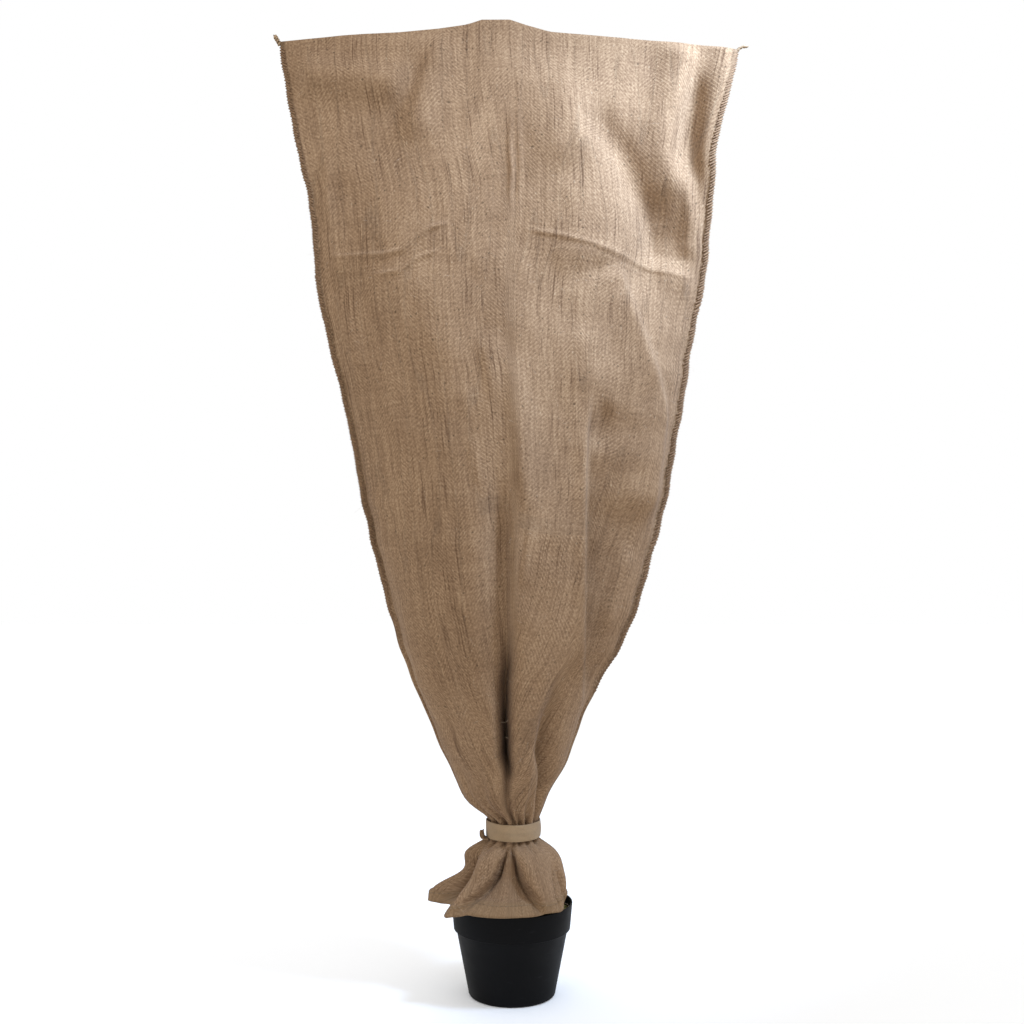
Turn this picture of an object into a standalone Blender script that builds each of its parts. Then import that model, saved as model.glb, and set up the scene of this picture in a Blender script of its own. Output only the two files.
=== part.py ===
"""Jute plant cover sack, pulled mouth-down over a plant pot and tied in above it with a strap.

Units are metres. The origin is the middle of the pot's base on the ground, +Z is up and the front is -Y.
The sack is one length of cloth folded in half at its top edge, sewn up both sides and hemmed at the mouth.
"""

from collections import namedtuple
from math import cos, pi, radians, sin

import bmesh
import bpy
import numpy as np

CLOTH_THICKNESS = 0.0018
SEAM_SLIT = 0.0006  # between the two layers of cloth in a side seam and at the top fold
FLAT_HALF = CLOTH_THICKNESS + SEAM_SLIT / 2  # half the thickness of the two layers pressed together
SEAM_TURN = 0.0012  # how far in from its tip a side seam reaches its full thickness
FOLD_CROWN = 0.0015  # rise of the top fold over the first ring of the cloth
SEGMENTS_ACROSS = 36  # steps from one side seam to the other, on each face of the sack

POT_HEIGHT = 0.1232
POT_RIM_RADIUS = 0.0803
POT_RIM_FOOT_RADIUS = 0.0773
POT_RIM_FOOT = 0.0880  # height at which the rim band steps in to the body
POT_BODY_RADIUS = 0.0738
POT_FOOT_RADIUS = 0.0579
POT_FLAT_RADIUS = 0.0520
POT_WALL = 0.0022
POT_CORNER = 0.0045
TOUCH_GAP = 0.0003  # between pieces that touch

STRAP_WIDTH = 0.0220
STRAP_THICKNESS = 0.0014
STRAP_FOOT = 0.2095
STRAP_TOP = STRAP_FOOT + STRAP_WIDTH
NECK_RADIUS = 0.0345
NECK_X = 0.0015  # the neck stands a little right of the pot's middle
NECK_EASE = 0.0020  # the neck keeps its radius this far above and below the strap
NECK_FOOT = STRAP_FOOT - NECK_EASE

FILL_EDGE = 0.1110  # height of the fill where it meets the pot's wall
FILL_CROWN = 0.1165
FILL_BUMP = 0.0016

HEM_STEP = 0.0010  # how far the turned-up hem stands out
HEM_STEP_SHARE = 0.012  # share of the mouth's height in which it steps out

# One row for each level of the sack above its neck: height, the tips of the side seams, how far the front
# and the back belly out, how sharply the two faces meet at the seams (2 flat lens, 1 round), seam width.
Section = namedtuple("Section", "z left right front back pinch seam")
SECTIONS = [
    Section(1.2560, -0.309, 0.297, 0.000, 0.000, 2.0, 0.009),
    Section(1.2350, -0.307, 0.294, 0.006, 0.006, 2.0, 0.009),
    Section(1.1810, -0.297, 0.281, 0.024, 0.020, 2.0, 0.009),
    Section(1.1210, -0.285, 0.268, 0.040, 0.034, 2.0, 0.009),
    Section(1.0610, -0.272, 0.265, 0.052, 0.046, 1.9, 0.009),
    Section(1.0010, -0.264, 0.261, 0.062, 0.056, 1.8, 0.009),
    Section(0.9420, -0.260, 0.256, 0.070, 0.064, 1.8, 0.009),
    Section(0.8820, -0.248, 0.243, 0.078, 0.072, 1.7, 0.009),
    Section(0.8020, -0.229, 0.231, 0.088, 0.082, 1.6, 0.009),
    Section(0.7220, -0.211, 0.217, 0.096, 0.090, 1.5, 0.009),
    Section(0.6420, -0.197, 0.203, 0.102, 0.095, 1.4, 0.009),
    Section(0.5830, -0.183, 0.186, 0.104, 0.097, 1.3, 0.009),
    Section(0.5230, -0.168, 0.170, 0.102, 0.095, 1.2, 0.009),
    Section(0.4630, -0.150, 0.146, 0.096, 0.089, 1.1, 0.008),
    Section(0.4030, -0.127, 0.111, 0.086, 0.080, 1.0, 0.006),
    Section(0.3430, -0.102, 0.086, 0.072, 0.068, 1.0, 0.004),
    Section(0.3130, -0.0885, 0.0755, 0.063, 0.060, 1.0, 0.003),
    Section(0.2830, -0.074, 0.0590, 0.053, 0.052, 1.0, 0.002),
    Section(0.2500, -0.054, 0.0425, 0.039, 0.040, 1.0, 0.002),
    Section(STRAP_TOP + NECK_EASE, NECK_X - NECK_RADIUS, NECK_X + NECK_RADIUS, 0.0321, 0.0321, 1.0, 0.002),
    Section(NECK_FOOT, NECK_X - NECK_RADIUS, NECK_X + NECK_RADIUS, 0.0321, 0.0321, 1.0, 0.002),
]
RING_HEIGHTS = [
    1.256, 1.237, 1.205, 1.165, 1.120, 1.070, 1.015, 0.950, 0.880, 0.810, 0.745, 0.680, 0.620, 0.565,
    0.515, 0.465, 0.420, 0.378, 0.340, 0.305, 0.278, 0.256, STRAP_TOP + NECK_EASE, NECK_FOOT,
]

# The top edge as it runs from the left corner to the right one, highest a little left of the middle.
EdgePoint = namedtuple("EdgePoint", "x z")
TOP_EDGE = [
    EdgePoint(-0.309, 1.2640), EdgePoint(-0.230, 1.2720), EdgePoint(-0.150, 1.2765),
    EdgePoint(-0.097, 1.2815), EdgePoint(-0.060, 1.2870), EdgePoint(-0.040, 1.2935),
    EdgePoint(-0.003, 1.2935), EdgePoint(0.018, 1.2865), EdgePoint(0.050, 1.2775),
    EdgePoint(0.143, 1.2695), EdgePoint(0.249, 1.2595), EdgePoint(0.297, 1.2480),
]
TOP_EDGE_FADE = 0.16  # how far down the rings still follow the top edge's line

# Soft ridges and troughs: the face they lie on, three points along them, half width, how far they stand out.
Crease = namedtuple("Crease", "face x1 z1 x2 z2 x3 z3 width height")
CREASES = [
    Crease("front", -0.300, 1.215, -0.200, 1.195, -0.110, 1.185, 0.030, -0.007),
    Crease("front", 0.080, 1.180, 0.140, 1.100, 0.165, 1.000, 0.026, 0.012),
    Crease("front", 0.135, 1.160, 0.185, 1.100, 0.212, 1.005, 0.024, -0.012),
    Crease("front", 0.130, 0.985, 0.168, 0.890, 0.195, 0.690, 0.028, 0.010),
    Crease("front", 0.000, 1.010, 0.006, 0.840, 0.018, 0.700, 0.036, 0.008),
    Crease("front", 0.060, 0.860, 0.055, 0.720, 0.050, 0.600, 0.030, -0.010),
    Crease("front", -0.120, 0.960, -0.100, 0.800, -0.080, 0.600, 0.045, 0.008),
    Crease("front", -0.200, 0.900, -0.165, 0.760, -0.130, 0.600, 0.030, -0.008),
    Crease("back", -0.190, 1.160, -0.150, 1.000, -0.140, 0.860, 0.036, -0.012),
    Crease("back", 0.120, 1.180, 0.090, 1.010, 0.085, 0.860, 0.036, 0.012),
    Crease("back", 0.170, 0.950, 0.140, 0.780, 0.110, 0.560, 0.034, -0.014),
    Crease("back", -0.020, 0.960, -0.030, 0.760, -0.030, 0.560, 0.040, 0.012),
    Crease("back", -0.120, 0.760, -0.095, 0.620, -0.070, 0.480, 0.030, -0.014),
]

# Right of the front fold's edge the cloth drops back behind it: height, place of the edge, share of depth lost.
Tuck = namedtuple("Tuck", "z edge share")
TUCK = [
    Tuck(0.700, 0.100, 0.00), Tuck(0.620, 0.100, 0.20), Tuck(0.523, 0.098, 0.48), Tuck(0.463, 0.097, 0.60),
    Tuck(0.403, 0.092, 0.62), Tuck(0.350, 0.088, 0.00),
]
TUCK_WIDTH = 0.016

# Pleats drawn in by the strap: turn about the neck at their start and at the strap (0 right, 90 back, 270
# front), height at which they fade out, height of the deepest place, depth there and at the strap, half width
# in degrees.
Pleat = namedtuple("Pleat", "top_turn turn top deepest_at deepest at_neck width")
PLEATS = [
    Pleat(262, 270, 0.580, 0.400, 0.042, 0.012, 7), Pleat(287, 287, 0.290, 0.265, 0.003, 0.008, 6),
    Pleat(304, 306, 0.276, 0.256, 0.005, 0.009, 6), Pleat(306, 334, 0.470, 0.340, 0.022, 0.011, 8),
    Pleat(10, 10, 0.330, 0.280, 0.004, 0.007, 6), Pleat(27, 30, 0.400, 0.310, 0.012, 0.010, 6),
    Pleat(54, 54, 0.360, 0.290, 0.008, 0.010, 6), Pleat(81, 81, 0.560, 0.400, 0.034, 0.011, 7),
    Pleat(106, 106, 0.330, 0.280, 0.006, 0.009, 6), Pleat(132, 132, 0.460, 0.330, 0.020, 0.011, 7),
    Pleat(158, 158, 0.350, 0.290, 0.007, 0.009, 6), Pleat(192, 192, 0.300, 0.266, 0.003, 0.007, 6),
    Pleat(214, 220, 0.330, 0.275, 0.004, 0.009, 6), Pleat(240, 248, 0.310, 0.270, 0.004, 0.009, 6),
]

# The mouth below the strap, a row for each ridge and valley of its folds: turn about the neck at the strap and
# at the hem, radius at each of the drops below it, and height of the hem's lower edge.
Fold = namedtuple("Fold", "turn hem_turn shoulder waist brim hem hem_z")
MOUTH_FOLDS = [
    Fold(0, -12, 0.0560, 0.0690, 0.0720, 0.0675, 0.1225),
    Fold(22, 20, 0.0440, 0.0560, 0.0640, 0.0680, 0.1300),
    Fold(45, 45, 0.0540, 0.0700, 0.0790, 0.0840, 0.1270),
    Fold(68, 68, 0.0420, 0.0520, 0.0640, 0.0740, 0.1285),
    Fold(92, 92, 0.0520, 0.0670, 0.0790, 0.0870, 0.1265),
    Fold(115, 112, 0.0420, 0.0530, 0.0660, 0.0790, 0.1275),
    Fold(140, 135, 0.0530, 0.0680, 0.0820, 0.0930, 0.1250),
    Fold(160, 156, 0.0440, 0.0520, 0.0680, 0.0850, 0.1290),
    Fold(180, 176, 0.0600, 0.0670, 0.1050, 0.1090, 0.1240),
    Fold(200, 197, 0.0440, 0.0490, 0.0640, 0.0840, 0.1280),
    Fold(230, 216, 0.0560, 0.0740, 0.0960, 0.1040, 0.1190),
    Fold(248, 232, 0.0430, 0.0550, 0.0750, 0.0870, 0.1250),
    Fold(266, 288, 0.0420, 0.0540, 0.0735, 0.0830, 0.1262),
    Fold(286, 303, 0.0530, 0.0735, 0.0835, 0.0812, 0.1262),
    Fold(340, 319, 0.0490, 0.0640, 0.0745, 0.0792, 0.1238),
]
MOUTH_DROPS = [0.0, 0.18, 0.52, 0.80, 1.0]  # shares of the way down at the strap and at each radius of a fold
MOUTH_SHARES = [0.08, 0.15, 0.24, 0.34, 0.45, 0.56, 0.66, 0.75, 0.82]  # rings of cloth, down to the hem's top

def clear_scene():
    for thing in list(bpy.data.objects):
        bpy.data.objects.remove(thing, do_unlink=True)


def make_material(name, colour, roughness):
    material = bpy.data.materials.new(name)
    material.use_nodes = True
    shader = material.node_tree.nodes["Principled BSDF"]
    shader.inputs["Base Color"].default_value = (*colour, 1.0)
    shader.inputs["Roughness"].default_value = roughness
    return material


def add_object(name, mesh, material, collection):
    thing = bpy.data.objects.new(name, mesh)
    mesh.materials.append(material)
    collection.objects.link(thing)
    return thing


def ease(share):
    """0 to 1 with flat ends, from a share that may run past either."""
    share = np.clip(share, 0.0, 1.0)
    return share * share * (3.0 - 2.0 * share)


def smooth_between(at, places, values):
    """The value at a place on a smooth curve through values at rising places."""
    places, values = np.array(places), np.array(values)
    slopes = np.gradient(values, places)
    i = int(np.clip(np.searchsorted(places, at) - 1, 0, len(places) - 2))
    span = places[i + 1] - places[i]
    t = min(max((at - places[i]) / span, 0.0), 1.0)
    start = (1 + 2 * t) * (1 - t) ** 2 * values[i] + t * (1 - t) ** 2 * span * slopes[i]
    return start + t * t * (3 - 2 * t) * values[i + 1] + t * t * (t - 1) * span * slopes[i + 1]


def along_rows(z, rows, column):
    """A table's column at height z; the rows run from the top down."""
    return smooth_between(z, [row.z for row in rows[::-1]], [getattr(row, column) for row in rows[::-1]])


def crease_height(crease, x, z):
    """How far this crease moves the cloth out at a point seen face on."""
    points = [(crease.x1, crease.z1), (crease.x2, crease.z2), (crease.x3, crease.z3)]
    nearest, run = 9.0, 0.0
    for step, ((ax, az), (bx, bz)) in enumerate(zip(points, points[1:])):
        length2 = (bx - ax) ** 2 + (bz - az) ** 2
        t = min(max(((x - ax) * (bx - ax) + (z - az) * (bz - az)) / length2, 0.0), 1.0)
        away = np.hypot(x - ax - t * (bx - ax), z - az - t * (bz - az))
        if away < nearest:
            nearest, run = away, (step + t) / 2
    return crease.height * np.exp(-((nearest / crease.width) ** 2)) * ease(3 * run) * ease(3 * (1 - run))


def pleat_depth(pleat, turn, z):
    """How far this pleat draws the cloth in at a turn about the neck and a height."""
    down = ease((pleat.deepest_at - z) / (pleat.deepest_at - STRAP_TOP))
    off = (turn - pleat.top_turn - down * (pleat.turn - pleat.top_turn) + 180) % 360 - 180
    fade = ease((pleat.top - z) / (pleat.top - pleat.deepest_at))
    depth = fade * (pleat.deepest * (1 - down) + pleat.at_neck * down)
    return depth * np.exp(-((off / pleat.width) ** 2))


def ring_shares():
    """The points round one ring of cloth: each one's stretch and its share of the way across from the left."""
    across = [i / SEGMENTS_ACROSS for i in range(SEGMENTS_ACROSS + 1)]
    front = [("left_turn_front", 0.0)] + [("front", t) for t in across] + [("right_turn_front", 1.0)]
    back = [("right_turn_back", 1.0)] + [("back", t) for t in reversed(across)] + [("left_turn_back", 0.0)]
    return [("left_tip", 0.0)] + front + [("right_tip", 1.0)] + back


def body_point(stretch, share, z):
    """A point of the sack above its mouth."""
    left, right = along_rows(z, SECTIONS, "left"), along_rows(z, SECTIONS, "right")
    seam = along_rows(z, SECTIONS, "seam")
    if stretch.endswith("tip"):
        return (left if stretch == "left_tip" else right), 0.0
    side = -1.0 if "front" in stretch else 1.0
    if "turn" in stretch:
        turn_in = min(SEAM_TURN, 0.6 * seam)
        return (left + turn_in if "left" in stretch else right - turn_in), side * FLAT_HALF
    pinch = along_rows(z, SECTIONS, "pinch")
    round_share = ease(2.0 - pinch)  # 0 where the sack is flat, 1 where it is round
    across = (1 - round_share) * (2 * share - 1) - round_share * cos(pi * share)
    half = (right - left) / 2 - seam
    x = (left + right) / 2 + half * across
    depth = along_rows(z, SECTIONS, stretch) * max(1 - across * across, 0.0) ** (pinch / 2)
    if stretch == "front":
        lost = along_rows(z, TUCK, "share") if TUCK[-1].z < z < TUCK[0].z else 0.0
        depth *= 1 - lost * ease((x - along_rows(z, TUCK, "edge")) / TUCK_WIDTH)
    seams_hold = min(1.0, 3.0 * (1 - across * across))
    raised = sum(crease_height(crease, x, z) for crease in CREASES if crease.face == stretch)
    turn = 180 + 180 * share if stretch == "front" else 180 - 180 * share
    drawn = sum(pleat_depth(pleat, turn, z) for pleat in PLEATS)
    out = seams_hold * raised - drawn
    lean = across * round_share
    x += out * lean
    y = depth + out * (1 - lean * lean) ** 0.5
    return x, side * (FLAT_HALF + max(y, 0.0))


def ring_at(z):
    points = []
    for stretch, share in ring_shares():
        x, y = body_point(stretch, share, z)
        follow = ease((z - SECTIONS[0].z + TOP_EDGE_FADE) / TOP_EDGE_FADE)
        edge = np.interp(x, [point.x for point in TOP_EDGE], [point.z for point in TOP_EDGE])
        points.append((x, y, z + follow * (edge - SECTIONS[0].z)))
    return points


def mouth_at(turn, share):
    """Radius and height of the mouth's cloth at a turn about the neck and a share of the way down."""
    first = MOUTH_FOLDS[0]
    rows = MOUTH_FOLDS + [first._replace(turn=first.turn + 360, hem_turn=first.hem_turn + 360)]
    places = [row.turn + share * (row.hem_turn - row.turn) for row in rows]
    turn = places[0] + (turn - places[0]) % 360
    i = int(np.clip(np.searchsorted(places, turn) - 1, 0, len(rows) - 2))
    side = ease((turn - places[i]) / (places[i + 1] - places[i]))
    radii = [(NECK_RADIUS, row.shoulder, row.waist, row.brim, row.hem) for row in rows[i : i + 2]]
    radius = [smooth_between(share, MOUTH_DROPS, row) for row in radii]
    hem_z = rows[i].hem_z * (1 - side) + rows[i + 1].hem_z * side
    return radius[0] * (1 - side) + radius[1] * side, NECK_FOOT + share * (hem_z - NECK_FOOT)


def mouth_rings(neck_ring):
    """Rings from just under the strap to the hem's lower edge. Their points spread evenly on the way down."""
    hem_top = MOUTH_SHARES[-1]
    rings = []
    for share in MOUTH_SHARES + [hem_top + HEM_STEP_SHARE, 1.0]:
        ring = []
        for i, (x, y, _) in enumerate(neck_ring):
            even_turn = 180 + 360 * i / len(neck_ring)
            own_turn = even_turn + (np.degrees(np.arctan2(y, x - NECK_X)) - even_turn + 180) % 360 - 180
            turn = own_turn + (even_turn - own_turn) * ease(2 * share)
            out, height = mouth_at(turn, share)
            out += (np.hypot(x - NECK_X, y) - NECK_RADIUS) * (1 - ease(share / MOUTH_DROPS[1]))
            out += HEM_STEP if share > hem_top else 0.0
            ring.append((NECK_X * (1 - share) + out * cos(radians(turn)), out * sin(radians(turn)), height))
        rings.append(ring)
    return rings


def build_sack(collection):
    rings = [ring_at(z) for z in RING_HEIGHTS]
    rings += mouth_rings(rings[-1])
    count = len(rings[0])
    bm = bmesh.new()
    grid = [[bm.verts.new(point) for point in ring] for ring in rings]
    for upper, lower in zip(grid, grid[1:]):
        for i in range(count):
            j = (i + 1) % count
            bm.faces.new((upper[i], lower[i], lower[j], upper[j]))
    # The top fold closes the first ring: a crown runs from the left tip to the right one.
    half = count // 2
    first = grid[0]
    crown = [first[0]]
    for i in range(1, half):
        middle = (first[i].co + first[count - i].co) / 2
        middle.z += FOLD_CROWN
        crown.append(bm.verts.new(middle))
    crown.append(first[half])
    for i in range(half):
        for near, following in ((first[i], first[i + 1]), (first[(count - i) % count], first[count - i - 1])):
            corners = [near, following, crown[i + 1], crown[i]]
            bm.faces.new(list(dict.fromkeys(corners)))
    bmesh.ops.recalc_face_normals(bm, faces=bm.faces)
    mesh = bpy.data.meshes.new("sack")
    bm.to_mesh(mesh)
    bm.free()
    mesh.shade_smooth()
    sack = add_object("sack", mesh, make_material("jute cloth", (0.37, 0.26, 0.16), 0.95), collection)
    wall = sack.modifiers.new("cloth", "SOLIDIFY")
    wall.thickness = CLOTH_THICKNESS
    wall.offset = -1.0
    return sack


def turned(name, profile, material, collection, steps):
    """A shape turned about the Z axis from a closed profile of (radius, height), run down its outer side."""
    mesh = bpy.data.meshes.new(name)
    edges = [(i, (i + 1) % len(profile)) for i in range(len(profile))]
    if profile[0][0] == 0.0 and profile[-1][0] == 0.0:
        edges.pop()
    mesh.from_pydata([(radius, 0.0, height) for radius, height in profile], edges, [])
    thing = add_object(name, mesh, material, collection)
    screw = thing.modifiers.new("turn", "SCREW")
    screw.steps = steps
    screw.render_steps = steps
    screw.use_merge_vertices = True
    screw.merge_threshold = 0.00001
    return thing


def arc(centre, radius, start, end, steps):
    return [
        (
            centre[0] + radius * cos(radians(start + (end - start) * i / steps)),
            centre[1] + radius * sin(radians(start + (end - start) * i / steps)),
        )
        for i in range(steps + 1)
    ]


def build_strap(collection):
    inner = NECK_RADIUS + TOUCH_GAP
    outer = inner + STRAP_THICKNESS
    profile = [(inner, STRAP_TOP), (outer, STRAP_TOP), (outer, STRAP_FOOT), (inner, STRAP_FOOT)]
    material = make_material("webbing", (0.46, 0.35, 0.23), 0.7)
    strap = turned("strap", profile, material, collection, 48)
    strap.location.x = NECK_X
    return strap


def pot_inner_radius(z):
    """Radius of the pot's inside at a height above its floor."""
    heights = [0.0, POT_RIM_FOOT, POT_RIM_FOOT + POT_WALL, POT_HEIGHT]
    radii = [POT_FOOT_RADIUS, POT_BODY_RADIUS, POT_RIM_FOOT_RADIUS, POT_RIM_RADIUS]
    return float(np.interp(z, heights, radii)) - POT_WALL


def build_pot(collection):
    lip = POT_WALL / 2
    profile = [(0.0, POT_WALL), (pot_inner_radius(POT_WALL) - POT_WALL, POT_WALL)]
    profile += [(pot_inner_radius(2 * POT_WALL), 2 * POT_WALL)]
    profile += [(pot_inner_radius(POT_RIM_FOOT), POT_RIM_FOOT)]
    profile += [(pot_inner_radius(POT_RIM_FOOT + POT_WALL), POT_RIM_FOOT + POT_WALL)]
    profile += arc((POT_RIM_RADIUS - lip, POT_HEIGHT - lip), lip, 180, 0, 4)
    profile += [(POT_RIM_FOOT_RADIUS, POT_RIM_FOOT), (POT_BODY_RADIUS, POT_RIM_FOOT - POT_WALL / 2)]
    profile += arc((POT_FOOT_RADIUS - POT_CORNER, POT_CORNER), POT_CORNER, 0, -60, 3)
    profile += [(POT_FLAT_RADIUS, 0.0), (0.0, 0.0)]
    material = make_material("black polypropylene", (0.012, 0.012, 0.013), 0.5)
    return turned("pot", profile, material, collection, 40)


def build_fill(collection):
    foot = POT_WALL + TOUCH_GAP
    heights = [FILL_EDGE, POT_RIM_FOOT, 2 * POT_WALL + TOUCH_GAP]
    profile = [(0.0, FILL_CROWN), (0.45 * POT_FOOT_RADIUS, FILL_CROWN)]
    profile += [(0.85 * POT_BODY_RADIUS, FILL_CROWN - FILL_BUMP)]
    profile += [(pot_inner_radius(z) - TOUCH_GAP, z) for z in heights]
    profile += [(pot_inner_radius(foot) - POT_WALL - TOUCH_GAP, foot), (0.0, foot)]
    material = make_material("moss", (0.16, 0.13, 0.04), 0.95)
    return turned("pot_fill", profile, material, collection, 40)


def main():
    clear_scene()
    collection = bpy.data.collections.new("jute plant cover sack on a plant pot")
    bpy.context.scene.collection.children.link(collection)
    build_sack(collection)
    build_strap(collection)
    build_pot(collection)
    build_fill(collection)


main()
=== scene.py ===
from collections import namedtuple
from functools import partial
from math import cos, pi, radians, sin

import bmesh
import bpy
import numpy as np
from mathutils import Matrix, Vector


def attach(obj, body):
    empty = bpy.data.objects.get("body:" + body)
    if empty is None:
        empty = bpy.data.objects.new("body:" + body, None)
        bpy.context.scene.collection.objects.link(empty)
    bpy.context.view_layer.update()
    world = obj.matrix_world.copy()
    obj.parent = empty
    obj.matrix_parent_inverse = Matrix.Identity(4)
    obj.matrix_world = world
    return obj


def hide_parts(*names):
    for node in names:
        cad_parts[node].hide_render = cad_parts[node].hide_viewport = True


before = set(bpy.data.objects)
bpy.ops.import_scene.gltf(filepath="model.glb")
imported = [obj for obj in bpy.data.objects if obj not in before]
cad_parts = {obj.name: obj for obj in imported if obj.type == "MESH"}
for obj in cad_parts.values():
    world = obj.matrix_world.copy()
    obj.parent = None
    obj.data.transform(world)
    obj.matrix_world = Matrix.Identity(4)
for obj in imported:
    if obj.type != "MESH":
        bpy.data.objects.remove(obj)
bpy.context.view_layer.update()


def say(text):
    print("scene:", text, flush=True)


def hexColour(code):
    # an sRGB hex value as linear RGBA
    parts = [int(code[i : i + 2], 16) / 255 for i in (1, 3, 5)]
    linear = [c / 12.92 if c <= 0.04045 else ((c + 0.055) / 1.055) ** 2.4 for c in parts]
    return (*linear, 1.0)


def addNode(tree, kind, links=(), out=0, stops=(), **settings):
    # links fills the inputs in order, or by name or number, each with a fixed value or another node's output;
    # stops are the places and colours of a ramp; the output that out names comes back
    node = tree.nodes.new("ShaderNode" + kind)
    for name, value in settings.items():
        setattr(node, name, value)
    for name, value in links.items() if isinstance(links, dict) else enumerate(links):
        if isinstance(value, bpy.types.NodeSocket):
            tree.links.new(value, node.inputs[name])
        else:
            node.inputs[name].default_value = value
    if stops:
        ramp = node.color_ramp.elements
        ramp[0].position, ramp[1].position = stops[0][0], stops[-1][0]
        for position, _ in stops[1:-1]:
            ramp.new(position)
        for element, (_, code) in zip(ramp, stops):
            element.color = hexColour(code)
    return node.outputs[out]


def patches(tree, place, size, detail=2.0, *reach):
    # uneven patches of this size in metres, which may differ along x, y and z; reach is the low and the high
    # value that become 0 and 1, or else the two values that follow them
    sizes = size if isinstance(size, tuple) else (size, size, size)
    spread = addNode(tree, "Mapping", {"Vector": place, "Scale": [1 / length for length in sizes]})
    links = {"Vector": spread, "Scale": 1.0, "Detail": detail, "Roughness": 0.55}
    uneven = addNode(tree, "TexNoise", links, out="Fac")
    return addNode(tree, "MapRange", (uneven, *reach)) if reach else uneven


def newMaterial(name, colour=None, **values):
    material = bpy.data.materials.new(name)
    material.use_nodes = True
    shader = material.node_tree.nodes["Principled BSDF"]
    if colour:
        shader.inputs["Base Color"].default_value = hexColour(colour)
    for socket, value in values.items():
        shader.inputs[socket.replace("_", " ")].default_value = value
    return material, material.node_tree, shader


def dress(tree, shader, colour, relief=None, depth=0.0, strength=1.0):
    # gives the shader its colour, and a fine relief of this depth in metres
    tree.links.new(colour, shader.inputs["Base Color"])
    if relief is not None:
        bump = addNode(tree, "Bump", {"Height": relief, "Distance": depth, "Strength": strength})
        tree.links.new(bump, shader.inputs["Normal"])


def linkPiece(name, data):
    piece = bpy.data.objects.new(name, data)
    bpy.context.scene.collection.objects.link(piece)
    return piece


def finishPiece(bm, name, material, smooth=True):
    mesh = bpy.data.meshes.new(name)
    bm.to_mesh(mesh)
    bm.free()
    if smooth:
        mesh.shade_smooth()
    mesh.materials.append(material)
    return linkPiece(name, mesh)


def newThreads(name, material, radius, sides=1):
    # a curve piece that holds many lengths of thread of one radius
    curve = bpy.data.curves.new(name, "CURVE")
    curve.dimensions = "3D"
    curve.bevel_depth = radius
    curve.bevel_resolution = sides
    curve.use_fill_caps = True
    curve.materials.append(material)
    return linkPiece(name, curve)


def addThread(piece, points, radii=None):
    spline = piece.data.splines.new("POLY")
    spline.points.add(len(points) - 1)
    for i, point in enumerate(points):
        spline.points[i].co = (*point, 1.0)
        spline.points[i].radius = 1.0 if radii is None else radii[i]


def settle(piece, slot, *nodes):
    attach(piece, "root")
    if nodes:
        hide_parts(*nodes)


def ease(share):
    share = np.clip(share, 0.0, 1.0)
    return share * share * (3.0 - 2.0 * share)


def smoothBetween(at, places, values):
    # values on a smooth curve through the given ones at rising places
    places, values = np.array(places, float), np.array(values, float)
    slopes = np.gradient(values, places)
    i = np.clip(np.searchsorted(places, at) - 1, 0, len(places) - 2)
    span = places[i + 1] - places[i]
    t = np.clip((at - places[i]) / span, 0.0, 1.0)
    start = (1 + 2 * t) * (1 - t) ** 2 * values[i] + t * (1 - t) ** 2 * span * slopes[i]
    return start + t * t * (3 - 2 * t) * values[i + 1] + t * t * (t - 1) * span * slopes[i + 1]


def smoothRoute(points, steps):
    # a smooth line of this many points through the given ones, and each one's place along it
    points = np.array(points)
    t = np.linspace(0, len(points) - 1, steps)
    return t, np.stack([smoothBetween(t, range(len(points)), column) for column in points.T], 1)


def ripple(x, z, size, seed, waves=7):
    # a smooth uneven surface between about -1 and 1, with bumps of about this size
    total = 0
    chance = np.random.default_rng(seed)
    for _ in range(waves):
        angle, phase = chance.uniform(0, 2 * pi), chance.uniform(0, 2 * pi)
        pitch = size * chance.uniform(0.7, 1.6)
        total = total + np.sin((x * cos(angle) + z * sin(angle)) * 2 * pi / pitch + phase)
    return 2 * total / waves


# the sack is one length of hessian, folded at the top and seamed at its two sides
sack = {
    "thickness": 0.0018,
    "seamSlit": 0.0006,
    "foldCrown": 0.0015,
    "seamTurn": 0.0012,
    "frontSteps": 164,
    "backSteps": 50,
    "neckRadius": 0.0345,
    "neckX": 0.0015,
    "neckTop": 0.2335,
    "neckFoot": 0.2075,
    "strapTop": 0.2315,
    "topEdgeFade": 0.16,
    "tuckWidth": 0.009,
    # the seams: how far and how often they waver, how soon folds start beside them, where the lean starts
    "seamWaver": 0.0011,
    "waverPitch": 0.045,
    "seamHold": 6.0,
    "leanFrom": 0.85,
    # unevenness of the faces: height, size of the broad waves, size and share of the fine ones
    "waviness": 0.0009,
    "broadWave": 0.085,
    "fineWave": 0.026,
    "fineShare": 0.35,
    "mostInward": 0.002,
    # the mouth: rows of mesh, hem, the edges of its panes in degrees, the seams' share of its round
    "mouthRows": 21,
    "hemRows": 5,
    "hemShare": 0.82,
    "hemEdge": 0.012,
    "hemStep": 0.0028,
    "paneEdge": 4.2,
    "paneBulge": 0.45,
    "groove": 0.5,
    "grooveInset": 3.5,
    "grooveWidth": 2.6,
    "mouthWaviness": 0.0005,
    "seamRoom": 0.008,
    # the cloth's threads: real width and length of the cloth, how they crowd, join and straighten
    "clothWidth": 0.605,
    "clothLength": 1.20,
    "mouthWidth": 0.46,
    "mostCrowded": 1.3,
    "joinAt": 0.485,
    "joinWidth": 0.03,
    "straightening": 150,
    "backThreads": 0.7,
}
flatHalf = sack["thickness"] + sack["seamSlit"] / 2

# where the front's columns of mesh crowd together, as (share from left to right, how close)
columnCrowding = (
    (0.0, 1.0), (0.38, 0.8), (0.46, 1.9), (0.54, 1.9), (0.60, 0.9), (0.68, 1.4), (0.97, 1.4), (1.0, 1.1),
)
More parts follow.
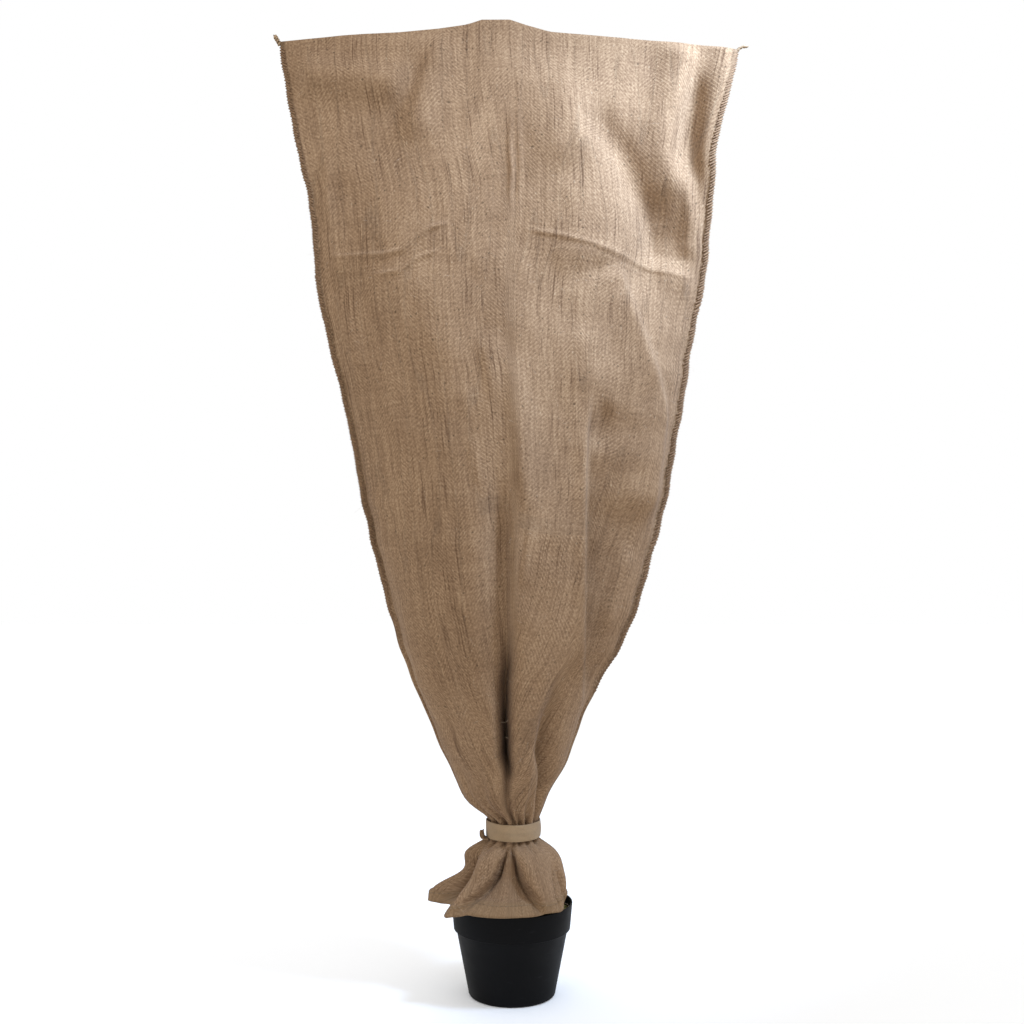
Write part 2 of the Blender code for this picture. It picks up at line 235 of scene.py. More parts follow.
# where its rows do, as (height, spacing)
rowSpacing = (
    (1.2560, 0.0050), (1.03, 0.0060), (1.02, 0.0026), (0.935, 0.0026), (0.925, 0.0068), (0.2335, 0.0072),
)
# degrees round the top fold at which it has a ring of its own
foldLifts = (90, 60, 30)

# levels of the sack down to its neck: seam tips, depths of the faces, how sharply these meet, seam width
level = namedtuple("level", "z left right front back pinch seam")
levels = [level(*row) for row in (
    (1.256, -0.309, 0.297, 0, 0, 2, 0.009), (1.235, -0.307, 0.294, 0.006, 0.006, 2, 0.009),
    (1.181, -0.297, 0.281, 0.024, 0.02, 2, 0.009), (1.121, -0.285, 0.268, 0.04, 0.034, 2, 0.009),
    (1.061, -0.272, 0.265, 0.052, 0.046, 1.9, 0.009), (1.001, -0.264, 0.261, 0.062, 0.056, 1.8, 0.009),
    (0.942, -0.26, 0.256, 0.07, 0.064, 1.8, 0.009), (0.882, -0.248, 0.243, 0.078, 0.072, 1.7, 0.009),
    (0.802, -0.229, 0.231, 0.088, 0.082, 1.6, 0.009), (0.722, -0.211, 0.217, 0.096, 0.09, 1.5, 0.009),
    (0.642, -0.197, 0.203, 0.102, 0.095, 1.4, 0.009), (0.583, -0.183, 0.186, 0.104, 0.097, 1.3, 0.009),
    (0.523, -0.168, 0.17, 0.102, 0.095, 1.2, 0.009), (0.463, -0.15, 0.146, 0.096, 0.089, 1.1, 0.008),
    (0.403, -0.127, 0.111, 0.086, 0.08, 1, 0.006), (0.343, -0.102, 0.086, 0.072, 0.068, 1, 0.004),
    (0.313, -0.0885, 0.0755, 0.063, 0.06, 1, 0.003), (0.283, -0.074, 0.059, 0.053, 0.052, 1, 0.002),
    (0.25, -0.054, 0.0425, 0.039, 0.04, 1, 0.002), (0.2335, -0.033, 0.036, 0.0321, 0.0321, 1, 0.002),
    (0.2075, -0.033, 0.036, 0.0321, 0.0321, 1, 0.002),
)]

# the folded top edge as (x, z), from the left corner to the right one
topEdge = (
    (-0.309, 1.264), (-0.23, 1.272), (-0.15, 1.2765), (-0.097, 1.2815), (-0.06, 1.287), (-0.04, 1.2935),
    (-0.003, 1.2935), (0.018, 1.2865), (0.05, 1.2775), (0.143, 1.2695), (0.249, 1.2595), (0.297, 1.248),
)

# how far the seams lean forward of the sack's middle plane
lean = namedtuple("lean", "z left right")
leans = [lean(*row) for row in (
    (1.256, 0, 0.018), (1.22, 0.001, 0.028), (1.16, 0.002, 0.033), (1.1, 0.002, 0.03), (1.04, 0.002, 0.018),
    (0.96, 0, 0.004), (0.86, -0.002, 0), (0.72, -0.004, -0.002), (0.64, 0.002, -0.004),
    (0.56, -0.003, 0.002), (0.45, 0, 0), (0.2, 0, 0),
)]

# ridges and hollows of the folds, in millimetres. The points (x, z) run upwards or to the right; the two half
# widths are on the left or upper side of them and on the right or lower side; then come the height and the
# share of the length over which each end fades
crease = namedtuple("crease", "points before after height fade", defaults=(0.33,))
creases = {
    "front": [crease(*row) for row in (
        # broad forms
        (((50, 600), (55, 720), (60, 860)), 30, 30, -6),
        (((-70, 600), (-85, 800), (-95, 960)), 40, 45, 3),
        (((-110, 600), (-130, 760), (-145, 960)), 55, 45, -6.5),
        (((18, 700), (6, 840), (0, 1010)), 36, 36, 4),
        # the top band, the hollow left of the raised middle, and the step under them
        (((-253, 1241), (-196, 1240), (-136, 1237), (-80, 1240)), 14, 22, 7),
        (((-137, 1113), (-124, 1157), (-108, 1205), (-84, 1255)), 14, 26, 15, 0.3),
        (((-304, 1214), (-249, 1206), (-182, 1196), (-124, 1183)), 24, 21, 21, 0.22),
        # pressed line down the middle
        (((1, 1020), (-3, 1050), (-1, 1083), (-4, 1115), (-1, 1160)), 2.2, 4.5, 2.4, 0.35),
        (((8, 1000), (7, 1040), (10, 1090), (7, 1150), (9, 1220)), 2.2, 5, 1.3, 0.35),
        # diagonal folds from the raised middle of the top edge down to the right seam, with hollows between
        (((92, 1075), (70, 1150), (55, 1240)), 85, 40, 10, 0.3),
        (((122, 925), (120, 975), (116, 1030), (103, 1090), (76, 1147), (36, 1204)), 68, 30, 17, 0.22),
        (((166, 905), (174, 950), (180, 1000), (164, 1055), (138, 1110), (112, 1145), (85, 1170)),
         18, 22, -15, 0.2),
        (((184, 930), (190, 965), (190, 998), (184, 1035), (174, 1070)), 14, 48, -11, 0.35),
        (((252, 955), (243, 1000), (226, 1055), (202, 1110),
          (205, 1150), (214, 1185), (222, 1230), (232, 1262)), 26, 20, 15, 0.12),
        (((250, 1010), (246, 1068), (240, 1131), (243, 1178), (250, 1218)), 12, 10, -9, 0.25),
        (((78, 740), (80, 860), (80, 1000), (70, 1110)), 55, 30, 6, 0.3),
        # soft ridges beside the left seam
        (((-178, 740), (-200, 830), (-212, 920), (-214, 1010), (-224, 1110)), 24, 40, -3.5, 0.25),
        (((-243, 1000), (-247, 1059), (-249, 1122)), 5, 12, 3),
        (((-200, 787), (-213, 859), (-226, 919)), 5, 14, 4),
        (((-158, 525), (-182, 629), (-198, 735)), 5, 12, 3),
        (((-197, 656), (-173, 650), (-150, 648)), 7, 5, 4, 0.3),
        # pressed lines across, from the time the cloth lay folded in its pack
        (((-261, 978), (-166, 975), (-143, 979), (-129, 991), (-109, 1006), (-78, 1014)),
         3.2, 2.8, 4, 0.12),
        (((-199, 947), (-146, 952), (-123, 967), (-84, 981)), 2.6, 2.4, 2.6, 0.2),
        (((-268, 944), (-240, 944), (-188, 950)), 14, 30, -9, 0.35),
        (((10, 1004), (56, 995), (100, 984), (135, 973), (179, 958), (253, 944)), 3, 3, 2.6, 0.15),
        (((150, 970), (190, 957), (224, 950), (258, 943)), 16, 20, 10, 0.3),
        # long ridge down to the right seam
        (((179, 611), (191, 682), (197, 754), (194, 784), (169, 858), (144, 927), (133, 963)),
         50, 7, 14, 0.12),
        (((198, 787), (186, 838), (168, 892), (150, 947)), 22, 34, 6, 0.3),
        # soft folds of the middle, and the hollow that runs on into the front pleat
        (((-16, 756), (-29, 827), (-39, 878)), 10, 18, 4),
        (((114, 777), (99, 834), (84, 886)), 24, 24, 5),
        (((22, 624), (17, 674), (11, 731), (6, 782), (-3, 852)), 12, 15, 6, 0.2),
        (((-13, 517), (-16, 580), (-16, 643), (-16, 693), (-21, 750)), 14, 20, -6, 0.4),
        (((-8, 386), (-8, 428), (-9, 479), (-10, 540), (-11, 615), (-15, 690)), 23, 7, -18, 0.28),
        (((2, 226), (-3, 262), (-8, 298), (-9, 330)), 3.5, 3, -5, 0.2),
        (((-23, 479), (-23, 542), (-22, 592), (-21, 634)), 5, 3, 1, 0.2),
        (((-40, 665), (-47, 703), (-55, 739)), 2.5, 9, 1.6, 0.25),
        (((11, 540), (17, 585), (24, 627)), 3, 10, 2.6, 0.25),
        (((-134, 390), (-143, 451), (-149, 512)), 3, 9, 1.4, 0.25),
        # the front fold's edge and the hollow behind it
        (((97, 377), (98, 463), (98, 541), (98, 668), (100, 732), (104, 785)), 3, 40, -8, 0.16),
        (((92, 396), (91, 477), (91, 579), (91, 681), (92, 763)), 10, 4, 4, 0.16),
        (((111, 716), (116, 751), (122, 786)), 10, 16, -5, 0.3),
        (((118, 462), (131, 520), (144, 560), (157, 599)), 9, 10, 6, 0.25),
        # slack of the lower left and small pulls above the strap
        (((-95, 348), (-113, 422), (-127, 501), (-132, 578)), 24, 20, 5),
        (((-66, 304), (-78, 372), (-87, 451), (-92, 528)), 14, 18, -5),
        (((-20, 244), (-30, 287), (-40, 335)), 4, 7, 2.6, 0.3),
        (((15, 244), (19, 280), (28, 321)), 6, 4, 3.4, 0.3),
        (((38, 250), (48, 290), (62, 338)), 4, 6, -3.4, 0.3),
        (((-36, 241), (-50, 278), (-66, 311)), 5, 5, -2.6, 0.3),
    )],
    "back": [crease(*row) for row in (
        # broad forms
        (((-190, 1160), (-150, 1000), (-140, 860)), 36, 36, -12),
        (((120, 1180), (90, 1010), (85, 860)), 36, 36, 12),
        (((170, 950), (140, 780), (110, 560)), 34, 34, -14),
        (((-20, 960), (-30, 760), (-30, 560)), 40, 40, 12),
        (((-120, 760), (-95, 620), (-70, 480)), 30, 30, -14),
        # pressed lines and small pulls of the back
        (((-255, 985), (-120, 972), (30, 990), (150, 978), (250, 962)), 5, 6, 3),
        (((-40, 640), (-10, 820), (-6, 1000), (-10, 1240)), 3, 20, 3),
        (((60, 420), (100, 560), (150, 700)), 8, 22, 7),
        (((-60, 400), (-110, 540), (-160, 720)), 20, 8, 7),
    )],
}

# right of the front fold's edge the cloth drops back: height, place of the edge, share of the depth lost
tuck = namedtuple("tuck", "z edge share")
tucks = [tuck(*row) for row in (
    (0.8, 0.098, 0), (0.722, 0.094, 0.14), (0.642, 0.092, 0.36), (0.583, 0.092, 0.5), (0.523, 0.092, 0.56),
    (0.463, 0.092, 0.6), (0.403, 0.091, 0.62), (0.35, 0.088, 0),
)]

# pleats drawn in by the strap: turns in degrees where they start and at the strap, with the front at 270;
# heights of their top and deepest place; depths there and at the neck; half width in degrees; foot's height
pleatColumns = "topTurn turn top deepestAt deepest atNeck width foot"
pleat = namedtuple("pleat", pleatColumns, defaults=(sack["strapTop"],))
pleats = [pleat(*row) for row in (
    (269, 272, 0.52, 0.33, 0.07, 0.006, 4.5, 0.286), (287, 287, 0.29, 0.265, 0.003, 0.008, 6),
    (304, 306, 0.276, 0.256, 0.005, 0.009, 6), (306, 334, 0.47, 0.34, 0.022, 0.011, 8),
    (10, 10, 0.33, 0.28, 0.004, 0.007, 6), (27, 30, 0.4, 0.31, 0.012, 0.01, 6),
    (54, 54, 0.36, 0.29, 0.008, 0.01, 6), (81, 81, 0.56, 0.4, 0.034, 0.011, 7),
    (106, 106, 0.33, 0.28, 0.006, 0.009, 6), (132, 132, 0.46, 0.33, 0.02, 0.011, 7),
    (158, 158, 0.35, 0.29, 0.007, 0.009, 6), (192, 192, 0.3, 0.266, 0.003, 0.007, 6),
    (214, 220, 0.33, 0.275, 0.004, 0.009, 6), (240, 248, 0.31, 0.27, 0.004, 0.009, 6),
)]

# folds of the mouth: turn at the strap and at the hem, radius at each drop, height of the hem's lower edge
fold = namedtuple("fold", "turn hemTurn shoulder waist brim hem hemZ")
folds = [fold(*row) for row in (
    (0, -12, 0.056, 0.069, 0.072, 0.0675, 0.1225), (22, 20, 0.044, 0.056, 0.064, 0.068, 0.13),
    (45, 45, 0.054, 0.07, 0.079, 0.084, 0.127), (68, 68, 0.042, 0.052, 0.064, 0.074, 0.1285),
    (92, 92, 0.052, 0.067, 0.079, 0.087, 0.1265), (115, 112, 0.042, 0.053, 0.066, 0.079, 0.1275),
    (140, 135, 0.053, 0.068, 0.082, 0.093, 0.125), (160, 156, 0.044, 0.052, 0.068, 0.085, 0.129),
    (180, 180, 0.06, 0.067, 0.105, 0.109, 0.124), (200, 202, 0.044, 0.049, 0.064, 0.084, 0.128),
    (230, 216, 0.056, 0.074, 0.096, 0.104, 0.119), (248, 232, 0.043, 0.055, 0.075, 0.087, 0.125),
    (266, 288, 0.042, 0.054, 0.0735, 0.083, 0.1262), (286, 303, 0.053, 0.0735, 0.0835, 0.0812, 0.1262),
    (340, 319, 0.049, 0.064, 0.0745, 0.0792, 0.1238),
)]
mouthDrops = [0.0, 0.18, 0.52, 0.80, 1.0]

# panes of the mouth that lie back between two sharp creases: share of the way down, their turns, depth
crossing = namedtuple("crossing", "share left right depth")
panes = [
    [crossing(*row) for row in (
        (0.03, 260, 266, 0), (0.3, 247, 279, 0.014), (0.55, 238, 286, 0.023), (0.76, 227, 295, 0.024),
        (0.88, 223, 298, 0.01), (1, 221, 300, 0.001),
    )],
    [crossing(*row) for row in (
        (0.3, 194, 208, 0), (0.6, 192, 214, 0.03), (0.8, 191, 216, 0.044), (0.9, 191, 216, 0.016),
        (1, 191, 214, 0),
    )],
    [crossing(*row) for row in (
        (0.35, 330, 338, 0), (0.6, 322, 344, 0.006), (0.85, 318, 346, 0.006), (1, 318, 346, 0),
    )],
]


def atLevel(z, column, rows=levels):
    # a column's value at a height; the rows run downwards
    return smoothBetween(z, [row.z for row in rows[::-1]], [getattr(row, column) for row in rows[::-1]])


def seamEdge(z, side):
    # where the seam's edge lies from left to right; it is not quite straight
    seed = 51 if side == "left" else 52
    return atLevel(z, side) + sack["seamWaver"] * ripple(z, 0 * z, sack["waverPitch"], seed)


def creaseHeight(row, x, z):
    points = [(px / 1000, pz / 1000) for px, pz in row.points]
    nearest = np.full(np.shape(x), np.inf)
    run, side = np.zeros(np.shape(x)), np.zeros(np.shape(x))
    steps = len(points) - 1
    for step, ((ax, az), (bx, bz)) in enumerate(zip(points, points[1:])):
        square = (bx - ax) ** 2 + (bz - az) ** 2
        t = np.clip(((x - ax) * (bx - ax) + (z - az) * (bz - az)) / square, 0.0, 1.0)
        away = np.hypot(x - ax - t * (bx - ax), z - az - t * (bz - az))
        run = np.where(away < nearest, (step + t) / steps, run)
        side = np.where(away < nearest, (bx - ax) * (z - az) - (bz - az) * (x - ax), side)
        nearest = np.minimum(away, nearest)
    width = np.where(side > 0, row.before, row.after) / 1000
    ends = ease(run / row.fade) * ease((1 - run) / row.fade)
    return row.height / 1000 * np.exp(-((nearest / width) ** 2)) * ends


def pleatDepth(row, turn, z):
    down = ease((row.deepestAt - z) / (row.deepestAt - row.foot))
    off = (turn - row.topTurn - down * (row.turn - row.topTurn) + 180) % 360 - 180
    fade = ease((row.top - z) / (row.top - row.deepestAt))
    return fade * (row.deepest * (1 - down) + row.atNeck * down) * np.exp(-((off / row.width) ** 2))


def facePoint(face, share, z):
    # a point of the front or back face; share runs from the left seam to the right one
    left, right, seam = seamEdge(z, "left"), seamEdge(z, "right"), atLevel(z, "seam")
    pinch = atLevel(z, "pinch")
    roundShare = ease(2.0 - pinch)
    across = (1 - roundShare) * (2 * share - 1) - roundShare * np.cos(pi * share)
    x = (left + right) / 2 + ((right - left) / 2 - seam) * across
    depth = atLevel(z, face) * np.maximum(1 - across * across, 0.0) ** (pinch / 2)
    if face == "front":
        lost, edge = atLevel(z, "share", tucks), atLevel(z, "edge", tucks)
        depth = depth * (1 - lost * ease((x - edge) / sack["tuckWidth"]))
    raised = sum(creaseHeight(row, x, z) for row in creases[face])
    seed = 3 if face == "front" else 5
    uneven = ripple(x, z, sack["broadWave"], seed)
    uneven = uneven + sack["fineShare"] * ripple(x, 0.5 * z, sack["fineWave"], seed + 20)
    raised = raised + sack["waviness"] * uneven
    turn = 180 + 180 * share if face == "front" else 180 - 180 * share
    seamsHold = np.minimum(1.0, sack["seamHold"] * (1 - across * across))
    out = seamsHold * raised - sum(pleatDepth(row, turn, z) for row in pleats)
    sideways = across * roundShare
    x = x + out * sideways
    y = np.maximum(depth + out * np.sqrt(1 - sideways * sideways), -sack["mostInward"])
    # beside a seam that leans forward or back, both faces lean with it
    start = sack["leanFrom"]
    nearLeft, nearRight = ease((-across - start) / (1 - start)), ease((across - start) / (1 - start))
    forward = nearLeft * atLevel(z, "left", leans) + nearRight * atLevel(z, "right", leans)
    return x, (-1 if face == "front" else 1) * (flatHalf + y) - forward, z


def mouthAt(turn, share):
    # radius and height of the mouth's cloth at turns about the neck and one share of the way down
    rows = folds + [folds[0]._replace(turn=folds[0].turn + 360, hemTurn=folds[0].hemTurn + 360)]
    places = np.array([row.turn + share * (row.hemTurn - row.turn) for row in rows])
    turn = places[0] + (turn - places[0]) % 360
    i = np.clip(np.searchsorted(places, turn) - 1, 0, len(rows) - 2)
    side = ease((turn - places[i]) / (places[i + 1] - places[i]))
    radii = np.array([
        smoothBetween(share, mouthDrops, (sack["neckRadius"], row.shoulder, row.waist, row.brim, row.hem))
        for row in rows
    ])
    radius = radii[i] * (1 - side) + radii[i + 1] * side
    for pane in panes:
        shares, *columns = zip(*pane)
        left, right, depth = [np.interp(share, shares, column) for column in columns]
        half = (right - left) / 2
        off = np.abs((turn - (left + right) / 2 + 180) % 360 - 180)
        bulge = 1 - sack["paneBulge"] * (1 - np.minimum(off / half, 1.0) ** 2)
        groove = np.exp(-(((half - sack["grooveInset"] - off) / sack["grooveWidth"]) ** 2))
        pressed = bulge * ease((half - off) / sack["paneEdge"] + 0.5)
        radius = radius - depth * (pressed + sack["groove"] * groove)
    hemZ = np.array([row.hemZ for row in rows])
    drop = hemZ[i] * (1 - side) + hemZ[i + 1] * side - sack["neckFoot"]
    return radius, sack["neckFoot"] + share * drop


def crowdedShares(steps):
    # shares from 0 to 1 that crowd where columnCrowding says
    fine = np.linspace(0, 1, 2001)
    density = np.interp(fine, *zip(*columnCrowding))
    total = np.concatenate([[0], np.cumsum((density[1:] + density[:-1]) / 2)])
    return np.interp(np.linspace(0, total[-1], steps + 1), total, fine)


# places round one ring of cloth, from the left seam's tip along the front and back again along the back
ringPlaces = [("tip", "left", 0.0)]
ringPlaces += [("flange", "front left", t) for t in (0.0, 0.5)]
ringPlaces += [("face", "front", share) for share in crowdedShares(sack["frontSteps"])]
ringPlaces += [("flange", "front right", t) for t in (0.5, 0.0)]
ringPlaces += [("tip", "right", 0.0)]
ringPlaces += [("flange", "back right", t) for t in (0.0, 0.5)]
ringPlaces += [("face", "back", 1 - i / sack["backSteps"]) for i in range(sack["backSteps"] + 1)]
ringPlaces += [("flange", "back left", t) for t in (0.5, 0.0)]
tips = {"left": 0, "right": ringPlaces.index(("tip", "right", 0.0))}
faceColumns = {
    face: [i for i, place in enumerate(ringPlaces) if place[:2] == ("face", face)]
    for face in ("front", "back")
}


def bodyRing(z):
    ring = np.zeros((len(ringPlaces), 3))
    left, right, seam = float(seamEdge(z, "left")), float(seamEdge(z, "right")), float(atLevel(z, "seam"))
    turnIn = min(sack["seamTurn"], 0.6 * seam)
    for i, (kind, where, t) in enumerate(ringPlaces):
        side = "left" if "left" in where else "right"
        forward = float(atLevel(z, side, leans)) if kind != "face" else 0.0
        if kind == "tip":
            ring[i] = (left if side == "left" else right, -forward, z)
        elif kind == "flange":
            inward = turnIn + t * (seam - turnIn)
            x = left + inward if side == "left" else right - inward
            ring[i] = (x, (-flatHalf if "front" in where else flatHalf) - forward, z)
    for face, at in faceColumns.items():
        shares = np.array([ringPlaces[i][2] for i in at])
        ring[at] = np.stack(facePoint(face, shares, np.full(len(at), z)), 1)
    follow = ease((z - levels[0].z + sack["topEdgeFade"]) / sack["topEdgeFade"])
    ring[:, 2] += follow * (np.interp(ring[:, 0], *zip(*topEdge)) - levels[0].z)
    return ring


def mouthPlace(kind, where, t):
    # a column's place round the mouth, from 0 at the left seam through 0.5 at the right one
    room = sack["seamRoom"]
    if kind == "tip":
        return 0.0 if where == "left" else 0.5
    if kind == "flange":
        part = (0.3 + 0.7 * t) * room * 0.7
        part = part if "left" in where else 0.5 - part
    else:
        part = room + t * (0.5 - 2 * room)
    return part if "front" in where else 1 - part


def mouthRing(neckRing, share):
    away = neckRing[:, :2] - (sack["neckX"], 0.0)
    evenTurn = 180 + 360 * np.array([mouthPlace(*place) for place in ringPlaces])
    ownTurn = evenTurn + (np.degrees(np.arctan2(away[:, 1], away[:, 0])) - evenTurn + 180) % 360 - 180
    turn = ownTurn + (evenTurn - ownTurn) * ease(2 * share)
    out, height = mouthAt(turn, share)
    out = out + (np.hypot(away[:, 0], away[:, 1]) - sack["neckRadius"]) * (1 - ease(share / mouthDrops[1]))
    out = out + sack["mouthWaviness"] * ripple(turn / 60, share, 0.5, 8) * ease(3 * share)
    if share > sack["hemShare"]:
        out = out + sack["hemStep"]
    angle = np.radians(turn)
    return np.stack([sack["neckX"] * (1 - share) + out * np.cos(angle), out * np.sin(angle), height], 1)


def clothRings():
    top = bodyRing(levels[0].z)
    rings = []
    for lift in foldLifts:
        crown = top.copy()
        crown[:, 1] *= cos(radians(lift))
        crown[:, 2] += sack["foldCrown"] * sin(radians(lift))
        rings.append(crown)
    heights = [levels[0].z]
    spacings = rowSpacing[::-1]
    while heights[-1] > sack["neckTop"]:
        heights.append(max(heights[-1] - np.interp(heights[-1], *zip(*spacings)), sack["neckTop"]))
    rings += [bodyRing(z) for z in heights]
    bodyRows = len(rings)
    neck = bodyRing(sack["neckFoot"])
    shares = np.linspace(0, sack["hemShare"], sack["mouthRows"] + 1)[1:]
    hemShares = np.linspace(sack["hemShare"] + sack["hemEdge"], 1.0, sack["hemRows"] + 1)
    rings += [neck] + [mouthRing(neck, share) for share in (*shares, *hemShares)]
    return np.array(rings), bodyRows


def threadPlaces(rings, bodyRows):
    # distances along the cloth: across from the nearest side seam, and down from the top fold
    rows, columns = rings.shape[:2]
    fall = np.cumsum(np.linalg.norm(np.diff(rings, axis=0), axis=2), axis=0)
    down = np.concatenate([np.zeros((1, columns)), fall])
    across = np.zeros((rows, columns))
    for face in ("front", "back"):
        # a face's columns and the two of each flange beside it
        at = list(range(faceColumns[face][0] - 2, faceColumns[face][-1] + 3))
        shares = np.pad([ringPlaces[i][2] for i in faceColumns[face]], 2, mode="edge")
        step = np.linalg.norm(np.diff(rings[:, at], axis=1), axis=2)
        run = np.concatenate([np.zeros((rows, 1)), np.cumsum(step, axis=1)], 1)
        back = run[:, -1:] - run
        if face == "back":
            run, back = back, run
        # of the cloth too much for the sack's width, half crowds its threads and half hides in the middle
        total = run[:, :1] + back[:, :1]
        crowd = np.clip(1 + 0.5 * (sack["clothWidth"] / total - 1), 1.0, sack["mostCrowded"])
        fromRight = np.maximum(sack["clothWidth"], total) - crowd * back
        middle = ease((shares - sack["joinAt"]) / sack["joinWidth"])
        spread = crowd * run * (1 - middle) + fromRight * middle
        # threads run on nearly straight across the folds
        for _ in range(sack["straightening"]):
            inner = spread[1 : bodyRows - 1]
            spread[1 : bodyRows - 1] = (spread[: bodyRows - 2] + 2 * inner + spread[2:bodyRows]) / 4
        # below the neck they soon spread evenly round the mouth
        for row in range(bodyRows, rows):
            blend = ease((row - bodyRows + 1) / 4)
            spread[row] = spread[bodyRows - 1] * (1 - blend) + shares * sack["mouthWidth"] * blend
        across[:, at] = spread + (0 if face == "front" else sack["backThreads"])
    return across, down


# overlock stitches wrap the raw edges of the left and right side seams from their tops to their ends, below
# which the seam turns in under the gathers. A stitch's route, from the front round the edge to the back, is
# how far in it goes, how far out of the seam's middle and how far along
seamThread = {
    "pitch": 0.0037,
    "jitter": 0.0007,
    "reach": 0.0088,
    "slant": 0.0040,
    "radius": 0.0011,
    "lift": 0.0004,
    "tops": (1.258, 1.243),
    "ends": (0.50, 0.40),
    "mostOfSeam": 0.85,
    "evenness": (0.7, 1.1),
    "thickness": (0.75, 1.1),
    "thinnest": 0.6,
    "thinOver": 0.2,
    "shadeOver": 0.1,
    "route": (
        (1.0, -1.0, -1.0), (0.55, -1.0, -0.55), (0.12, -0.5, -0.15), (0.0, 0.0, 0.0),
        (0.12, 0.5, 0.09), (0.55, 1.0, 0.33), (1.0, 1.0, 0.6),
    ),
}


def buildSack(material):
    rings, bodyRows = clothRings()
    across, down = threadPlaces(rings, bodyRows)
    rows, columns = rings.shape[:2]
    bm = bmesh.new()
    bmesh.ops.create_grid(bm, x_segments=columns, y_segments=rows - 1, size=0.5)
    thread = bm.verts.layers.float_vector.new("thread")
    band = bm.verts.layers.float.new("band")
    flange = bm.verts.layers.float.new("flange")
    for vert in bm.verts:
        column = round((vert.co.x + 0.5) * columns) % columns
        row = round((0.5 - vert.co.y) * (rows - 1))
        vert.co = rings[row, column]
        vert[thread] = (across[row, column], down[row, column], 0.0)
        vert[band] = 1.0 if row >= rows - sack["hemRows"] - 1 else 0.0
        if ringPlaces[column][0] != "face" and row < bodyRows:
            end = seamThread["ends"][vert.co.x > 0]
            # the flange's share of the seam's painted darkening, partly the seam's own colour and partly
            # painted shade, fading out towards the seam's end
            vert[flange] = float(ease((vert.co.z - end) / seamThread["shadeOver"]))
    bmesh.ops.remove_doubles(bm, verts=bm.verts, dist=0.00002)
    bmesh.ops.recalc_face_normals(bm, faces=bm.faces)
    if bm.calc_volume(signed=True) < 0:
        bmesh.ops.reverse_faces(bm, faces=bm.faces)
    piece = finishPiece(bm, "sackCloth", material)
    wall = piece.modifiers.new("cloth", "SOLIDIFY")
    wall.thickness = sack["thickness"]
    wall.offset = -1.0
    return piece, rings, bodyRows


# the weave in metres: one thread, a thick or thin stretch of thread, bands of twill, a single dark thread
weave = {
    "pitch": 0.0018,
    "slub": (0.0042, 0.09),
    "bandWidth": 0.036,
    "darkThread": (0.0027, 0.085),
    "wander": 0.0040,
    "relief": 0.0005,
}


